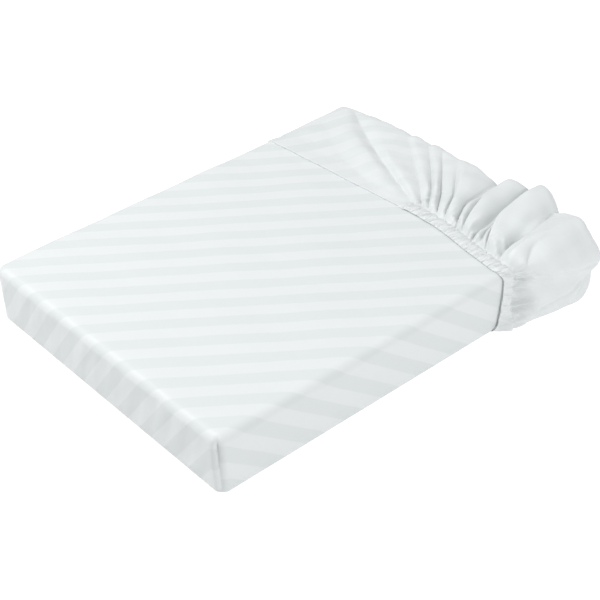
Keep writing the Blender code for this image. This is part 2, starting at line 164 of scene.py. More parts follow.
# Creases: soft troughs, or ridges where the depth is negative, along lines of (x, girth) points.
CREASES = named_rows(
    "name line depth width",
    ("puff_groove", ((106, 58), (120, 61.6), (135, 64), (148, 63.5), (158, 64)), 1.8, 3.5),
    ("puff_rib", ((97, 56), (101, 60), (105, 63)), -1.6, 1.6),
    ("side_fan_top", ((107, 37), (123, 30), (138, 26), (157, 22)), 0.8, 1.3),
    ("side_fan_middle", ((89, 45), (98, 40), (108, 35)), 0.8, 1.2),
    ("foot_crease", ((104, 10), (122, 11.6), (134, 12.2), (148, 16.7)), 0.8, 1.4),
    ("foot_crease_end", ((140, 7), (147, 12), (152, 17)), 0.7, 1.2),
    ("pucker_top", ((88, 28), (92, 31), (99, 35)), 2.6, 1.5),
    ("pucker_under_top", ((88, 24), (93, 25), (98, 27)), 1.4, 1.0),
    ("pucker_middle", ((86, 15), (92, 16.5), (101, 19)), 1.7, 1.5),
    ("pucker_rib", ((87, 13), (94, 14.4), (103, 16.5)), -1.0, 0.9),
    ("pucker_low", ((86, 10.6), (92, 11.8), (100, 13.6)), 1.7, 1.2),
    ("pucker_foot", ((86, 5), (90, 6), (96, 7)), 1.6, 1.3),
)
# Over this distance a crease fades towards its ends, starting from an offset there.
CREASE_FADE = 5 * MM
CREASE_END_OFFSET = 0.25
# The puffs start to rise at the onset and are full after the rise, distances from the mouth.
RISE_GIRTHS = (0, 14, 34, 46, 144, 164)
ONSETS = (8, 7.5, 8, 8.5, 8.5, 1)
RISES = (14, 19, 14, 6, 6, 6)

# Small gathers that run into the elastic: period round the mouth, height, and the distances from the
# mouth at which they start and have died away.
GATHERS = named_rows("period height start end", (5.3, 0.9, 8, 30), (11.0, 0.9, 12, 46))
GATHERS_START_GIRTH = -30 * MM
GATHERS_END_GIRTH = 156 * MM
GATHERS_FADE = 15 * MM

# How far the hem stands off the packet: girths and distances, fading with the distance from the mouth.
STANDOFF_GIRTHS = np.array((-60, -8, 2, 8, 16, 35, 42, 52, 150, 262, 290, 305, 330, 420, 600)) * MM
STANDOFF_HEIGHTS = np.array((0, 0.2, 0.2, 0.3, 0.5, 0.65, 0.2, 0, 0.5, 0.7, 0.7, 0.7, 0.4, 0.2, 0)) * MM
STANDOFF_FADE = 14 * MM
# The foot of the gathered hem spreads by this much before the elastic's inner edge.
FLARE = 8.2 * MM
FLARE_GIRTHS = (-40, 0, 4, 10, 18)
FLARE_SHARES = (0, 1, 0.8, 0.25, 0)

# Soft waves of the loose cloth: height, its shares at girths, the waves' shortest and longest length, and
# the distances from the mouth at which they start and over which they rise.
LOOSE_HEIGHT = 0.3 * MM
LOOSE_GIRTHS = (-60, 0, 60, 170, 300)
LOOSE_SHARES = (0, 1.2, 1.2, 1.4, 0.8)
LOOSE_LENGTHS = (12 * MM, 32 * MM)
LOOSE_START = 8 * MM
LOOSE_RISE = 10 * MM

ELASTIC_WIDTH = 10 * MM
ELASTIC_THICK = 1.3 * MM
ELASTIC_START_GIRTH = -30 * MM
ELASTIC_END_GIRTH = 152 * MM
# Over this length the elastic's end on the top sinks at the seam, by half its thickness and the depth.
ELASTIC_END_FADE = 10 * MM
ELASTIC_END_DEPTH = 0.3 * MM
ELASTIC_END_ROUNDING = 4 * MM
ELASTIC_GAP = 0.1 * MM
ELASTIC_OVERHANG = 0.8 * MM
ELASTIC_EDGE_DROP = 0.55 * MM
ELASTIC_COLUMNS = 620
ELASTIC_ROWS = 28
RUCHE_PERIOD = 2.7 * MM
RUCHE_HEIGHT = 0.75 * MM
RUCHE_SLANT = 0.3
RUCHE_WARP = 0.28
# Second wave of the ruches: its height and its period as shares of the first one's, and its phase.
SECOND_HEIGHT = 0.3
SECOND_PERIOD = 0.63
SECOND_PHASE = 1.3
# The ruches run on into the pocket's cloth: their height there, where they start, over what distance
# they rise, and where they have died away.
RUN_ON_HEIGHT = 0.7 * MM
RUN_ON_START = 7 * MM
RUN_ON_RISE = 3 * MM
RUN_ON_END = 24 * MM

# How strongly the stripes and their painted sheen show, at girths.
SHARE_GIRTHS = (0, 60, 130, 160, 200, 240, 262)
SHARES = (0.3, 0.2, 0.2, 0.35, 0.6, 0.7, 1.0)

# The rows along the pocket's run lie closer together at the mouth.
RUN_ROWS = 58
RUN_POWER = 1.15
ROUNDING_ROWS = 8
END_ROWS = 14
END_BULGE = 6 * MM
END_STANDOFF = 0.4
FOOT_FADE = 60 * MM
# Columns of the plain wrapped part: far top rounding, far side, far foot, underside and near foot.
PLAIN_COLUMNS = (6, 12, 5, 50, 5)

# Stripes of each cloth: their direction, degrees from X in the plane of the packet's top, the width of a
# light and a dark band together as it shows there, and the place across of one dark band's middle.
STRIPE_PERIOD = 20 * MM
PACKET_STRIPES = (-38.7, 20 * MM, 15.7 * MM)
LEFT_STRIPES = (-23.0, 24.6 * MM, 50.9 * MM)
RIGHT_STRIPES = (-62.0, 16.7 * MM, 117.2 * MM)
# Girth of the middle of the top, where the cloth's place in Y is 0.
TOP_MIDDLE_GIRTH = 168.3 * MM

# -----
# Camera: place of the photograph's camera, its two angles, its roll and its focal length
# -----

CAMERA_PLACE = Vector((-0.50523, -0.64438, 0.59242))
CAMERA_AZIMUTH = -0.6717
CAMERA_ELEVATION = 0.6284
CAMERA_ROLL = -0.0592
CAMERA_LENS = 85.18


class SheetLooks(bpy.types.PropertyGroup):
    # The light stripe's colour is lighter than the dark one's: painted sheen of the shiny satin bands.
    light: bpy.props.FloatVectorProperty(
        name="Light stripe", description="Colour of the shiny stripes", subtype="COLOR",
        default=(0.62, 0.645, 0.651), min=0, max=1)
    dark: bpy.props.FloatVectorProperty(
        name="Dark stripe", description="Colour of the matt stripes", subtype="COLOR",
        default=(0.575, 0.604, 0.609), min=0, max=1)
    elastic: bpy.props.FloatVectorProperty(
        name="Elastic edge", description="Colour of the ruched edge", subtype="COLOR",
        default=(0.66, 0.685, 0.69), min=0, max=1)
    gathers: bpy.props.FloatProperty(
        name="Gathers", description="Strength of the small gathers at the elastic", default=1.0,
        min=0, max=2)
    ripple: bpy.props.FloatProperty(
        name="Ripple", description="Height of the soft waves in the packet's cloth", default=0.0003,
        min=0, max=0.002, unit="LENGTH")


class StageLooks(bpy.types.PropertyGroup):
    floor: bpy.props.FloatVectorProperty(
        name="Floor", description="Colour of the floor", subtype="COLOR",
        default=(0.17, 0.17, 0.17), min=0, max=1)
    glow: bpy.props.FloatProperty(
        name="Floor glow", description="Light that the floor gives off, as a lit table does",
        default=0.92, min=0)
    top_light: bpy.props.FloatProperty(
        name="Top light", description="Power of the light overhead, far left",
        default=22.2, min=0, unit="POWER")
    front_light: bpy.props.FloatProperty(
        name="Front light", description="Power of the low light in front of the near side",
        default=8.2, min=0, unit="POWER")
    left_light: bpy.props.FloatProperty(
        name="Left light", description="Power of the low light on the left",
        default=1.2, min=0, unit="POWER")
    sky: bpy.props.FloatProperty(
        name="Sky", description="Strength of the even light from all round", default=0.49, min=0)


# -----
# Small tools
# -----

def smooth_step(x):
    x = np.clip(x, 0.0, 1.0)
    return x * x * (3.0 - 2.0 * x)


def steps(stops, counts):
    """Places from the first stop to the last, with a count of equal steps between two stops."""
    runs = [np.linspace(low, high, n, endpoint=False) for low, high, n in zip(stops, stops[1:], counts)]
    return np.concatenate(runs + [stops[-1:]])


def waves(place, seed, count, shortest, longest):
    """Uneven waves along a line: a sum of sines with seeded lengths and phases, about -1 to 1."""
    draw = np.random.default_rng(seed)
    lengths = draw.uniform(shortest, longest, count)
    phases = draw.uniform(0.0, 2 * pi, count)
    return sum(np.sin(2 * pi * place / l + p) for l, p in zip(lengths, phases)) / count ** 0.5


def waves_2d(a, b, seed, count, shortest, longest):
    """Uneven waves over a surface: a sum of sines with seeded directions, lengths and phases."""
    draw = np.random.default_rng(seed)
    lengths = draw.uniform(shortest, longest, count)
    turns = draw.uniform(0.0, pi, count)
    phases = draw.uniform(0.0, 2 * pi, count)
    total = 0.0
    for length, turn, phase in zip(lengths, turns, phases):
        total = total + np.sin(2 * pi * (a * cos(turn) + b * sin(turn)) / length + phase)
    return total / count ** 0.5


def quads(rows, columns):
    """Corner numbers of the faces over a grid whose last column is joined to its first."""
    i = np.arange(rows - 1)[:, None]
    j = np.arange(columns)[None, :]
    k = (j + 1) % columns
    corners = np.stack(np.broadcast_arrays(i * columns + j, (i + 1) * columns + j,
                                           (i + 1) * columns + k, i * columns + k), -1)
    return corners.reshape(-1, 4)


def new_piece(name, points, faces, uv, material):
    """An object from points (n, 3), faces (m, 4) and, if any, each face corner's place on the cloth."""
    mesh = bpy.data.meshes.new(name)
    mesh.from_pydata(points.tolist(), [], faces.tolist())
    if uv is not None:
        mesh.uv_layers.new(name="cloth").data.foreach_set("uv", uv.reshape(-1).astype(np.float32))
    mesh.validate()
    mesh.shade_smooth()
    mesh.materials.append(material)
    return new_object(name, mesh)


def new_object(name, data):
    obj = bpy.data.objects.new(name, data)
    bpy.context.scene.collection.objects.link(obj)
    return obj


@contextmanager
def edited(obj):
    """The object's mesh as a bmesh, which is written back at the end."""
    bm = bmesh.new()
    bm.from_mesh(obj.data)
    yield bm
    bm.to_mesh(obj.data)
    bm.free()


def thicken(obj, thickness):
    """Merge an outer surface's doubles and give it its thickness inwards; nothing ends below the floor."""
    with edited(obj) as bm:
        bmesh.ops.remove_doubles(bm, verts=bm.verts, dist=MERGE_DISTANCE)
        bmesh.ops.dissolve_degenerate(bm, edges=bm.edges, dist=MERGE_DISTANCE)
    shell = obj.modifiers.new("thickness", "SOLIDIFY")
    shell.thickness = thickness
    shell.offset = -1.0
    shell.use_even_offset = False
    depsgraph = bpy.context.evaluated_depsgraph_get()
    thick = bpy.data.meshes.new_from_object(obj.evaluated_get(depsgraph), depsgraph=depsgraph)
    obj.modifiers.clear()
    thin = obj.data
    obj.data = thick
    bpy.data.meshes.remove(thin)
    places = np.empty(3 * len(thick.vertices), np.float32)
    thick.vertices.foreach_get("co", places)
    places[2::3] = np.maximum(places[2::3], 0.0)
    thick.vertices.foreach_set("co", places)
    thick.update()


def close_ends(obj, ring):
    """Close the open ends of a tube whose first and last rings have this many points."""
    with edited(obj) as bm:
        bm.verts.ensure_lookup_table()
        bm.faces.new(bm.verts[:ring][::-1])
        bm.faces.new(bm.verts[-ring:])
        bmesh.ops.recalc_face_normals(bm, faces=bm.faces)


def join(obj, other):
    """Add another object's mesh to this one's and remove the other."""
    with edited(obj) as bm:
        bm.from_mesh(other.data)
    bpy.data.objects.remove(other)


# -----
# Materials
# -----

class Value:
    """A number socket that can be used in Python expressions."""

    def __init__(self, maker, socket):
        self.maker = maker
        self.socket = socket

    def __add__(self, other):
        return self.maker.math("ADD", self, other)

    __radd__ = __add__

    def __sub__(self, other):
        return self.maker.math("SUBTRACT", self, other)

    def __rsub__(self, other):
        return self.maker.math("SUBTRACT", other, self)

    def __mul__(self, other):
        return self.maker.math("MULTIPLY", self, other)

    __rmul__ = __mul__


class Finish:
    """A material under construction: every node comes from node(), maths from math()."""

    def __init__(self, name):
        self.material = bpy.data.materials.new(name)
        self.material.use_nodes = True
        self.tree = self.material.node_tree
        self.shader = self.tree.nodes["Principled BSDF"]

    def put(self, socket, value):
        if isinstance(value, Value):
            value = value.socket
        if isinstance(value, bpy.types.NodeSocket):
            self.tree.links.new(value, socket)
        else:
            socket.default_value = value

    def node(self, kind, settings=None, inputs=None):
        made = self.tree.nodes.new(kind)
        for key, value in (settings or {}).items():
            setattr(made, key, value)
        for key, value in (inputs or {}).items():
            self.put(made.inputs[key], value)
        return made

    def math(self, operation, *values):
        made = self.node("ShaderNodeMath", dict(operation=operation), dict(enumerate(values)))
        return Value(self, made.outputs[0])

    def smooth(self, value, low, high):
        made = self.node("ShaderNodeMapRange", dict(interpolation_type="SMOOTHSTEP"),
                         {"Value": value, "From Min": low, "From Max": high})
        return Value(self, made.outputs["Result"])

    def noise(self, place, scale, detail=2.0):
        made = self.node("ShaderNodeTexNoise", None, {"Vector": place, "Scale": scale, "Detail": detail})
        return Value(self, made.outputs["Fac"])

    def mix(self, share, first, second):
        made = self.node("ShaderNodeMix", dict(data_type="RGBA"), {"Factor": share})
        for label, value in (("A", first), ("B", second)):
            socket = [s for s in made.inputs if s.name == label and s.type == "RGBA"][0]
            self.put(socket, value if not isinstance(value, tuple) else (*value[:3], 1.0))
        return [s for s in made.outputs if s.type == "RGBA"][0]

    def cloth_place(self):
        """The place on the cloth, from its UV map, and its U and V as numbers."""
        uv = self.node("ShaderNodeUVMap", dict(uv_map="cloth")).outputs["UV"]
        parts = self.node("ShaderNodeSeparateXYZ", None, {"Vector": uv})
        return uv, Value(self, parts.outputs["X"]), Value(self, parts.outputs["Y"])

    def bump(self, height, strength, distance):
        inputs = {"Height": height, "Strength": strength, "Distance": distance}
        return self.node("ShaderNodeBump", None, inputs).outputs[0]

    def finish(self, **values):
        for key, value in values.items():
            self.put(self.shader.inputs[key.replace("_", " ")], value)
        return self.material


THREAD = 0.35 * MM
# A band's edge on the swing from a light middle, 0, to a matt one, 1, and how far the edge wanders.
BAND_EDGE = (0.44, 0.56)
BAND_WANDER = 0.8 * MM
# How much the clouds and slubs of the yarn change the shade, and how fine slubs are along and across.
CLOUDS = 0.25
SLUBS = 0.16
SLUB_SCALES = (300.0, 2500.0, 1.0)


def satin(name, light, dark, fading=False):
    """Striped satin on the cloth's own UV map, whose V runs across the stripes.

    Shiny weft-faced bands alternate with matt ones; the shiny bands' lighter base colour is painted
    sheen. Where the cloth is fading, its attribute stripe_share says how strongly the stripes and their
    painted sheen show. The weave is a bump of floats that lie along the band in one kind and across it in
    the other.
    """
    f = Finish(name)
    uv, u, v = f.cloth_place()
    wander = f.noise(uv, 60.0) - 0.5
    across = (v + wander * BAND_WANDER) * (1 / STRIPE_PERIOD)
    swing = f.math("PINGPONG", across, 0.5) * 2
    matt = f.smooth(swing, *BAND_EDGE)
    # Where stripe_share is low the matt bands take the light colour too, and the painted sheen evens out.
    if fading:
        share = f.node("ShaderNodeAttribute", dict(attribute_name="stripe_share")).outputs["Fac"]
        matt = matt * Value(f, share)
    cloudy = f.noise(uv, 25.0, 3.0) - 0.5
    drawn_out = f.node("ShaderNodeMapping", None, {"Vector": uv, "Scale": SLUB_SCALES}).outputs[0]
    slubs = f.noise(drawn_out, 1.0, 1.0) - 0.5
    shade = matt + cloudy * CLOUDS + slubs * SLUBS
    # Colour runs from the light stripe to the dark one: the shiny bands' painted sheen, with the yarn's
    # clouds and slubs.
    colour = f.mix(f.math("MINIMUM", f.math("MAXIMUM", shade, 0.0), 1.0), light, dark)
    floats = f.math("SINE", v * (2 * pi / THREAD))
    crossing = f.math("SINE", u * (2 * pi / THREAD))
    weave = floats * (1 - matt * 0.7) + crossing * (0.3 + matt * 0.7)
    return f.finish(Base_Color=colour, Roughness=0.5 + matt * 0.1, Normal=f.bump(weave, 0.12, 0.04 * MM),
                    Specular_IOR_Level=0.35, Sheen_Weight=0.12, Sheen_Roughness=0.5)


def ruched(name, colour):
    """Ruched casing: the same white cloth, crossed by fine threads, a little greyer in uneven clouds."""
    f = Finish(name)
    uv, u, v = f.cloth_place()
    cloudy = f.noise(uv, 120.0, 3.0)
    dark = tuple(c * 0.9 for c in colour)
    weave = f.math("SINE", v * (2 * pi / THREAD)) + f.math("SINE", u * (2 * pi / THREAD))
    return f.finish(Base_Color=f.mix(cloudy, colour, dark), Roughness=0.62,
                    Normal=f.bump(weave, 0.15, 0.05 * MM), Specular_IOR_Level=0.3, Sheen_Weight=0.1)


# -----
# Packet
# -----

OUTLINE_STEP = 3.0 * MM
CORNER_STEPS = 10
RING_STEP = 3.5 * MM
FOOT_RINGS = 6
SIDE_RINGS = 16
TOP_RINGS = 8
LAYER_BEND_POINTS = 6
TUCK_DEPTH_TOP = 2.5 * MM
TUCK_DEPTH_FOOT = 0.8 * MM
TUCK_WIDTH = 1.8 * MM
# Shortest and longest length of the outer ply's soft waves, its fine waves and the left face's folds, and
# the height of the last two as shares of the first's.
WAVE_LENGTHS = (45 * MM, 120 * MM)
FINE_LENGTHS = (14 * MM, 30 * MM)
LEFT_FOLD_LENGTHS = (9 * MM, 26 * MM)
FINE_SHARE = 0.25
LEFT_FOLD_SHARE = 0.9
# The waves rise over this height from the foot. Under the pocket they lose a share over the margin.
WAVES_RISE = 10 * MM
COVERED_LOSS = 0.7
COVERED_MARGIN = 20 * MM
# The waves push the sides away from a rectangle that is this much smaller than the packet's plan.
PUSH_INSET = 20 * MM


def plan(inset):
    """Rounded rectangle, the packet's plan shrunk by the insets (rows, 1), from the near-left corner.

    Returns the points (rows, columns, 2) and the side of each column: 0 near, 1 right, 2 far, 3 left. A
    corner's first half belongs to the side before it.
    """
    radius = np.maximum(UPRIGHT_RADIUS - inset, 0.0)[..., None]
    core = np.array([LENGTH, DEPTH]) / 2 - inset[..., None] - radius
    core = np.maximum(core, np.array([(LENGTH - DEPTH) / 2, 0.0]))
    signs = np.array([(-1, -1), (1, -1), (1, 1), (-1, 1)])
    counts = [round((LENGTH, DEPTH)[k % 2] / OUTLINE_STEP) for k in range(4)]
    corners = []
    for k, sign in enumerate(signs):
        angles = pi + k * pi / 2 + np.linspace(0.0, pi / 2, CORNER_STEPS + 1)
        arc = np.stack([np.cos(angles), np.sin(angles)], 1)
        corners.append(sign * core + radius * arc)
    points, sides = [], []
    for k in range(4):
        share = np.linspace(0.0, 1.0, counts[k] + 1)[1:-1, None]
        start, end = corners[k], corners[(k + 1) % 4]
        points += [start, start[:, -1:] + share * (end[:, :1] - start[:, -1:])]
        sides += [np.full(CORNER_STEPS // 2, (k + 3) % 4), np.full(CORNER_STEPS // 2 + 1, k)]
        sides.append(np.full(counts[k] - 1, k))
    return np.concatenate(points, 1), np.concatenate(sides)


def packet_rows():
    """Inset, height and path length of each ring, from the underside's middle round to the top's."""
    half = DEPTH / 2
    foot = np.linspace(-pi / 2, 0.0, FOOT_RINGS)
    top = np.linspace(0.0, pi / 2, TOP_RINGS)
    flat = round((half - TOP_RADIUS) / RING_STEP)
    side = np.linspace(FOOT_RADIUS, HEIGHT - TOP_RADIUS, SIDE_RINGS)[1:-1]
    inset = np.concatenate([
        np.linspace(half, FOOT_RADIUS, flat // 2)[:-1], FOOT_RADIUS * (1 - np.cos(foot)), 0 * side,
        TOP_RADIUS * (1 - np.cos(top)), np.linspace(TOP_RADIUS, half, flat)[1:]])
    height = np.concatenate([
        np.zeros(flat // 2 - 1), FOOT_RADIUS * (1 + np.sin(foot)), side,
        HEIGHT - TOP_RADIUS * (1 - np.sin(top)), np.full(flat - 1, HEIGHT)])
    step = np.hypot(np.diff(inset), np.diff(height))
    along = np.concatenate([[0.0], np.cumsum(step)])
    return inset, height, along


def tuck(xy, height):
    """Press the near corner in: a groove, deepest at the top of the upright edge."""
    corner = np.array([-LENGTH / 2, -DEPTH / 2]) + UPRIGHT_RADIUS * (1 - 0.5 ** 0.5)
    along = (xy - corner) @ np.array([1.0, -1.0]) / 2 ** 0.5
    near = smooth_step(2.0 - np.linalg.norm(xy - corner, axis=-1) / (2.5 * UPRIGHT_RADIUS))
    share = smooth_step(height / (HEIGHT - TOP_RADIUS))
    depth = TUCK_DEPTH_FOOT + (TUCK_DEPTH_TOP - TUCK_DEPTH_FOOT) * share
    depth = depth * np.clip((HEIGHT - height) / TOP_RADIUS, 0.0, 1.0)
    depth = depth * np.clip(height / FOOT_RADIUS, 0.0, 1.0)
    return near * depth * np.exp(-((along / TUCK_WIDTH) ** 2)) / 2 ** 0.5


def packet_surface(ripple):
    """Outer ply of the packet: rings of the rounded plan at each row's inset and height.

    Soft and fine waves move the top up and down and the sides in and out, and vanish where the packet
    rests. The left face has folds of its own as well. Returns the points, the faces and the cloth place
    of each face corner, unfolded round the edges.
    """
    inset, height, along = packet_rows()
    xy, sides = plan(inset[:, None])
    rows, columns = xy.shape[:2]
    z = np.broadcast_to(height[:, None], (rows, columns))
    groove = tuck(xy, z)
    x, y = xy[..., 0], xy[..., 1]
    wave = waves_2d(x, y + z, 11, 14, *WAVE_LENGTHS)
    fine = waves_2d(x, y + z, 12, 10, *FINE_LENGTHS)
    on_left = smooth_step((-LENGTH / 2 + TOP_RADIUS - x) / TOP_RADIUS)
    folds = waves_2d(1.6 * (y + 0.5 * z), 0.4 * z, 13, 10, *LEFT_FOLD_LENGTHS)
    lift = ripple * (wave + FINE_SHARE * fine + LEFT_FOLD_SHARE * on_left * folds)
    covered = smooth_step((x - MOUTH_ON_TOP + LENGTH / 2 + COVERED_MARGIN) / COVERED_MARGIN)
    lift = lift * smooth_step(z / WAVES_RISE) * (1 - COVERED_LOSS * covered)
    centre = np.array([LENGTH / 2 - PUSH_INSET, DEPTH / 2 - PUSH_INSET])
    outward = xy - np.clip(xy, -centre, centre)
    outward = outward / np.maximum(np.linalg.norm(outward, axis=-1, keepdims=True), 1e-6)
    up = smooth_step((z - HEIGHT + TOP_RADIUS) / TOP_RADIUS)
    moved = xy + outward * (lift * (1 - up))[..., None] + groove[..., None]
    points = np.concatenate([moved, (z + lift * up)[..., None]], -1)

    faces = quads(rows, columns)
    top_row = int(np.argmax(height >= HEIGHT - 1e-9))
    past_edge = np.maximum(along[top_row] - along, 0.0)
    normals = np.array([(0, -1), (1, 0), (0, 1), (-1, 0)])
    face_side = np.tile(sides, rows - 1)
    corner_row, corner_column = faces // columns, faces % columns
    flat = plan(np.maximum(inset, TOP_RADIUS)[:, None])[0]
    edge = plan(np.full((1, 1), TOP_RADIUS))[0][0]
    below = corner_row < top_row
    core = np.where(below[..., None], edge[corner_column], flat[corner_row, corner_column])
    cloth = core + normals[face_side][:, None, :] * past_edge[corner_row][..., None]
    from_corner = cloth + np.array([LENGTH, DEPTH]) / 2
    return points.reshape(-1, 3), faces, stripe_place(from_corner, PACKET_STRIPES)


def stripe_place(xy, stripes):
    """Turn a place on the cloth into distances along and across the stripes; a light band is at 0."""
    degrees, period, dark = stripes
    turn = radians(degrees)
    along = xy[..., 0] * cos(turn) + xy[..., 1] * sin(turn)
    across = xy[..., 1] * cos(turn) - xy[..., 0] * sin(turn)
    return np.stack([along, (across - dark) * STRIPE_PERIOD / period + STRIPE_PERIOD / 2], -1)


def layers_surface():
    """The folded layers under the outer ply, one strip that runs back and forth.

    The section in X and Z is a line of layers joined by half circles. Returns it at three places in Y.
    """
    ends = {1: LENGTH / 2 - LAYER_INSET, -1: -LENGTH / 2 + LAYER_INSET}
    outer, inner = (PITCH + PLY) / 2, SLACK / 2
    angles = np.linspace(-pi / 2, pi / 2, LAYER_BEND_POINTS)
    sides = {1: [], -1: []}
    for k in range(LAYERS):
        way = 1 if k % 2 == 0 else -1
        centre = np.array([ends[way] - way * outer, (k + 1) * PITCH + PLY + SLACK / 2])
        arc = np.stack([way * np.cos(angles), np.sin(angles)], 1)
        sides[way].append(centre + outer * arc)
        sides[-way].append(centre + inner * arc)
    right = np.concatenate(sides[1])[:-LAYER_BEND_POINTS]
    left = np.concatenate(sides[-1])[:-LAYER_BEND_POINTS]
    start = np.array([(ends[-1] + 2 * PLY, PITCH + PLY), (ends[-1] + 2 * PLY, PITCH)])
    section = np.concatenate([start, right, left[::-1]])
    half = DEPTH / 2 - LAYER_INSET
    return np.stack([np.insert(section, 1, y, axis=1) for y in np.linspace(-half, half, 3)])


# -----
# Pocket
# -----

def girth_knots(half_depth, top, top_radius, foot_radius):
    """Knots of the rounded cross-section: girth, centre of the rounding, its radius and its angle.

    The girth starts at the near bottom edge and runs up the near side, over the top, down the far
    side and back under the packet. Between the knots everything is linear.
    """
    b, f, t = half_depth, foot_radius, top_radius
    rows = [
        (top - f - t, -b + f, f, f, 180),
        (t * pi / 2, -b + t, top - t, t, 180),
        (2 * b - 2 * t, -b + t, top - t, t, 90),
        (t * pi / 2, b - t, top - t, t, 90),
        (top - f - t, b - t, top - t, t, 0),
        (f * pi / 2, b - f, f, f, 0),
        (2 * b - 2 * f, b - f, f, f, -90),
        (f * pi / 2, -b + f, f, f, -90),
        (0.0, -b + f, f, f, -180),
    ]
    table = np.array(rows)
    girth = foot_radius + np.concatenate([[0.0], np.cumsum(table[:-1, 0])])
    return girth, table[:, 1], table[:, 2], table[:, 3], np.radians(table[:, 4])


POCKET_KNOTS = girth_knots(POCKET_HALF_DEPTH, POCKET_TOP, POCKET_TOP_RADIUS, POCKET_FOOT_RADIUS)
NEAR_SIDE_FOOT, NEAR_SIDE_TOP = POCKET_KNOTS[0][:2]
FAR_SIDE_TOP, FAR_SIDE_FOOT, UNDER_START, UNDER_END, FULL_TURN = POCKET_KNOTS[0][4:]


def signed_girth(girth):
    """The girth, with the near foot's rounding below 0 instead of at the end of the full turn."""
    return np.where(girth > UNDER_END, girth - FULL_TURN, girth)


def cross_section(girth):
    """Point (y, z) and outward direction (y, z) of the plain wrapped pocket at a girth."""
    places, core_y, core_z, radius, angle = POCKET_KNOTS
    wrapped = places[0] + np.mod(girth - places[0], places[-1] - places[0])
    turn = np.interp(wrapped, places, angle)
    out = np.stack([np.cos(turn), np.sin(turn)], -1)
    core = np.stack([np.interp(wrapped, places, core_y), np.interp(wrapped, places, core_z)], -1)
    return core + np.interp(wrapped, places, radius)[..., None] * out, out


def mouth_x(yz):
    """Where the mouth of the pocket lies, from the place (y, z) on the cross-section."""
    y = yz[..., 0] + DEPTH / 2
    z = yz[..., 1]
    near = np.clip((NEAR_BEND_START - y) / NEAR_BEND_START, 0.0, 1.0) ** NEAR_BEND_POWER
    far = np.clip((y - FAR_BEND_START) / (DEPTH - FAR_BEND_START), 0.0, 1.0) ** FAR_BEND_POWER
    top = MOUTH_ON_TOP - (MOUTH_ON_TOP - MOUTH_ON_NEAR_SIDE) * near
    top = top - (MOUTH_ON_TOP - MOUTH_AT_FAR_EDGE) * far
    top = top - np.interp(y, np.array(SAG_PLACES) * MM, np.array(SAGS) * MM)
    under = smooth_step(1.0 - z / UNDER_BEND_HEIGHT)
    lean = NEAR_LEAN * smooth_step(-yz[..., 0] / (60 * MM)) * np.clip(1.0 - z / HEIGHT, 0.0, 1.0) ** 2
    return top + (MOUTH_UNDER - top) * under - lean - LENGTH / 2


def by_reach(column, reach):
    """A column of the fold table at distances from the mouth, with the folds along a new last axis.

    The values are joined by straight lines, whose corners are rounded by a moving average.
    """
    shifts = np.linspace(-REACH_SMOOTHING, REACH_SMOOTHING, REACH_SHIFTS)
    fine = np.linspace(0.0, LONGEST_REACH, REACH_SAMPLES)
    curves = [np.mean([np.interp(fine + s, REACHES, fold[column]) for s in shifts], 0) for fold in FOLDS]
    return np.stack([np.interp(reach, fine, curve) for curve in curves], -1)


def pick(values, index):
    """From values with the folds along the last axis, the one of each column's fold."""
    return np.take_along_axis(values, index[None, :, None], -1)[..., 0]


def pocket_columns():
    """For each column: the fold it lies in, its share of the fold's columns, and its girth if plain."""
    counts = [fold["columns"] for fold in FOLDS]
    index = np.concatenate([np.full(n, k) for k, n in enumerate(counts)])
    share = np.concatenate([np.arange(n) / max(n, 1) for n in counts])
    last_fold = FOLDS[-1]["girth"][-1] * MM
    near_foot = UNDER_END + (FULL_TURN - UNDER_END) / 4
    stops = (last_fold, FAR_SIDE_TOP, FAR_SIDE_FOOT, UNDER_START, UNDER_END, near_foot)
    plain = steps(stops, PLAIN_COLUMNS)
    index = np.concatenate([index, np.full(len(plain), len(FOLDS) - 1)])
    share = np.concatenate([share, np.zeros(len(plain))])
    return index, share, np.concatenate([np.full(sum(counts), np.nan), plain])


def fold_shape(share, crest, front, back):
    """Height of a fold, 0 at its valleys and 1 at its crest, at a share of the way across.

    Two quarter sine waves meet at the crest, each raised to its own power, which rounds its side.
    """
    rising = np.sin(np.clip(share / crest, 0.0, 1.0) * pi / 2)
    falling = np.sin(np.clip((1 - share) / (1 - crest), 0.0, 1.0) * pi / 2)
    return np.where(share < crest, rising ** front, falling ** back)


def line_distance(x, girth, line):
    """Distance of each point from a line of (x, girth) points, and the distance from its two ends."""
    points = np.array(line, float) * MM
    nearest = np.full(x.shape, np.inf)
    from_ends = np.zeros(x.shape)
    lengths = np.linalg.norm(np.diff(points, axis=0), axis=1)
    travelled = np.concatenate([[0.0], np.cumsum(lengths)])
    for k, length in enumerate(lengths):
        way = (points[k + 1] - points[k]) / length
        along = (x - points[k, 0]) * way[0] + (girth - points[k, 1]) * way[1]
        held = np.clip(along, 0.0, length)
        gap = np.hypot(x - points[k, 0] - held * way[0], girth - points[k, 1] - held * way[1])
        closer = gap < nearest
        nearest = np.where(closer, gap, nearest)
        place = travelled[k] + held
        from_ends = np.where(closer, np.minimum(place, travelled[-1] - place), from_ends)
    return nearest, from_ends


def creases(x, girth):
    """Depth of all the creases: a bell curve across each line, fading towards the line's ends."""
    total = 0.0
    for crease in CREASES:
        gap, from_ends = line_distance(x, girth, crease["line"])
        fade = smooth_step(CREASE_END_OFFSET + from_ends / CREASE_FADE)
        total = total + crease["depth"] * MM * fade * np.exp(-((gap / (crease["width"] * MM)) ** 2))
    return total


def ruches(girth, reach):
    """Fine uneven ridges across the elastic, at a slant; two sine waves along a bent girth."""
    slanted = girth + RUCHE_SLANT * (reach - ELASTIC_WIDTH / 2)
    bent = slanted + RUCHE_WARP * RUCHE_PERIOD * waves(slanted + 0.5 * reach, 51, 5, 6 * MM, 14 * MM)
    second = np.sin(2 * pi * bent / (SECOND_PERIOD * RUCHE_PERIOD) + SECOND_PHASE)
    return np.sin(2 * pi * bent / RUCHE_PERIOD) + SECOND_HEIGHT * second


